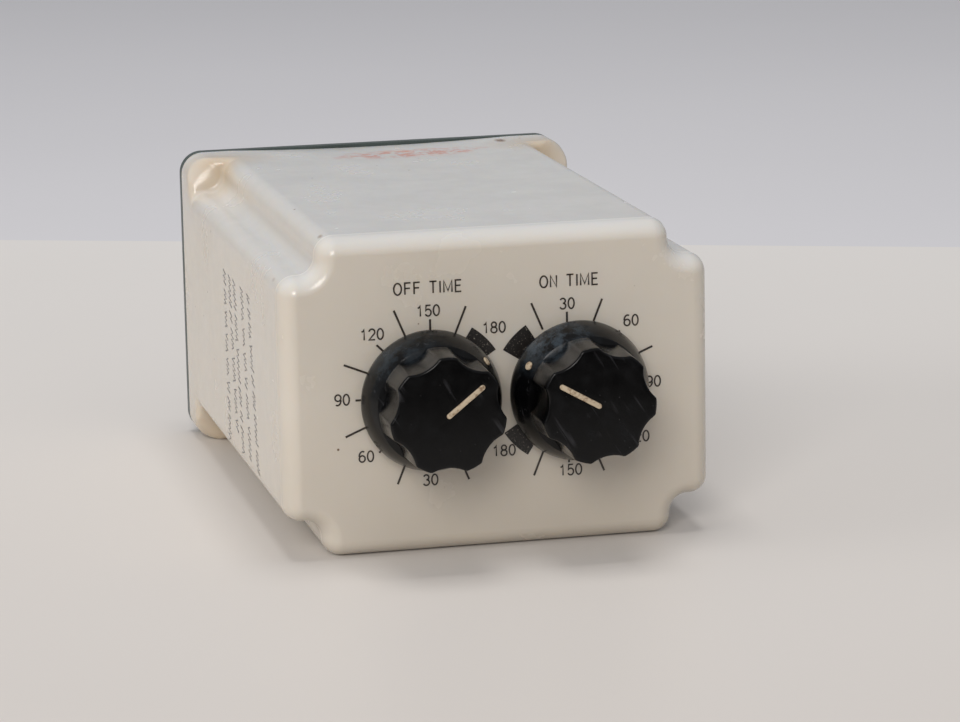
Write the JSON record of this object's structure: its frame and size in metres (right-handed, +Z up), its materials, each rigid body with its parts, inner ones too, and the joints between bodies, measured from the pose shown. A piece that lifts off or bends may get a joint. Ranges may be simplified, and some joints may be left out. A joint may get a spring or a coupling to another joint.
{
  "type": "irrigation controller",
  "caption": "Plug-in repeat-cycle timer for watering valves: notched box housing, two scalloped time dials on the front, and an octal plug at the back.",
  "frame": {"origin": "on the surface that the timer lies on, under the middle of its overall length (knob tops to plug tip) and width", "axes": "+Z up with the timer lying on its long side, dials facing -Y, plug pins pointing along +Y, +X to the right of the dial panel"},
  "size_m": [0.0604, 0.1174, 0.0444],
  "materials": {
    "housing_nylon": "milky moulded nylon, glossy",
    "plate_laminate": "dark green laminate, satin",
    "screw_steel": "zinc plated",
    "plug_phenolic": "black phenolic moulding",
    "pin_nickel": "nickel plated",
    "knob_black": "black moulded plastic, glossy",
    "marker_cream": "cream paint fill",
    "spring_steel": "spring steel",
    "shaft_aluminium": "turned",
    "rotor_plastic": "moulded rotor",
    "bushing_brass": "turned brass",
    "nut_nickel": "nickel plated",
    "pot_can": "tinned can",
    "track_phenolic": "phenolic wafer",
    "contact_brass": "stamped strip",
    "board_green": "glass-epoxy board",
    "header_tin": "tinned pins",
    "wire_sleeve": "PVC sleeve",
    "chip_black": "moulded epoxy",
    "resistor_tan": "lacquered",
    "film_capacitor": "dipped",
    "can_sleeve": "shrink sleeve",
    "varistor_blue": "dipped",
    "relay_header": "moulded",
    "relay_clear": "clear polycarbonate",
    "relay_iron": "zinc plated iron",
    "coil_copper": "enamelled wire under tape"
  },
  "bodies": {
    "timer": {"base_plate": "plate_laminate", "base_screws": "screw_steel", "board_header": "header_tin", "dial_board": "board_green", "driver_transistor": "chip_black", "dropper_resistor": "resistor_tan", "film_capacitor": "film_capacitor", "filter_capacitors": "can_sleeve", "housing": "housing_nylon", "main_board": "board_green", "off_pot_bushing": "bushing_brass", "off_pot_case": "pot_can", "off_pot_nut": "nut_nickel", "off_pot_terminals": "contact_brass", "off_pot_track": "track_phenolic", "off_pot_washer": "nut_nickel", "on_pot_bushing": "bushing_brass", "on_pot_case": "pot_can", "on_pot_nut": "nut_nickel", "on_pot_terminals": "contact_brass", "on_pot_track": "track_phenolic", "on_pot_washer": "nut_nickel", "pin_leads": "wire_sleeve", "plug_base": "plug_phenolic", "plug_key": "plug_phenolic", "plug_pins": "pin_nickel", "plug_retainer": "spring_steel", "rectifier_diodes": "chip_black", "relay_base": "relay_header", "relay_bobbin": "relay_header", "relay_break_contacts": "contact_brass", "relay_coil": "coil_copper", "relay_core": "relay_iron", "relay_cover": "relay_clear", "relay_make_contacts": "contact_brass", "relay_spring": "spring_steel", "relay_yoke": "relay_iron", "timing_capacitors": "film_capacitor", "timing_chips": "chip_black", "timing_resistors": "resistor_tan", "varistor": "varistor_blue"},
    "off_dial": {"off_knob": "knob_black", "off_pointer": "marker_cream", "off_index_dot": "marker_cream", "off_knob_clip": "spring_steel", "off_pot_shaft": "shaft_aluminium", "off_shaft_clip": "spring_steel", "off_wiper": "rotor_plastic"},
    "on_dial": {"on_knob": "knob_black", "on_pointer": "marker_cream", "on_index_dot": "marker_cream", "on_knob_clip": "spring_steel", "on_pot_shaft": "shaft_aluminium", "on_shaft_clip": "spring_steel", "on_wiper": "rotor_plastic"},
    "relay_arm": {"relay_armature": "relay_iron", "relay_card": "relay_header", "relay_moving_contacts": "contact_brass"}
  },
  "joints": [
    {"name": "off_dial_turn", "type": "hinge", "parent": "timer", "child": "off_dial", "pos_m": [-0.0101, -0.04525, 0.022], "axis": [0, -1, 0], "range_deg": [-8, 292]},
    {"name": "on_dial_turn", "type": "hinge", "parent": "timer", "child": "on_dial", "pos_m": [0.01065, -0.04525, 0.022], "axis": [0, -1, 0], "range_deg": [-300, 0]},
    {"name": "relay_arm_pull", "type": "hinge", "parent": "timer", "child": "relay_arm", "pos_m": [0.01, 0.01675, 0.02685], "axis": [1, 0, 0], "range_deg": [0, 1.9], "stiffness_Nm_per_rad": 0.02, "springref_deg": -5.73}
  ]
}
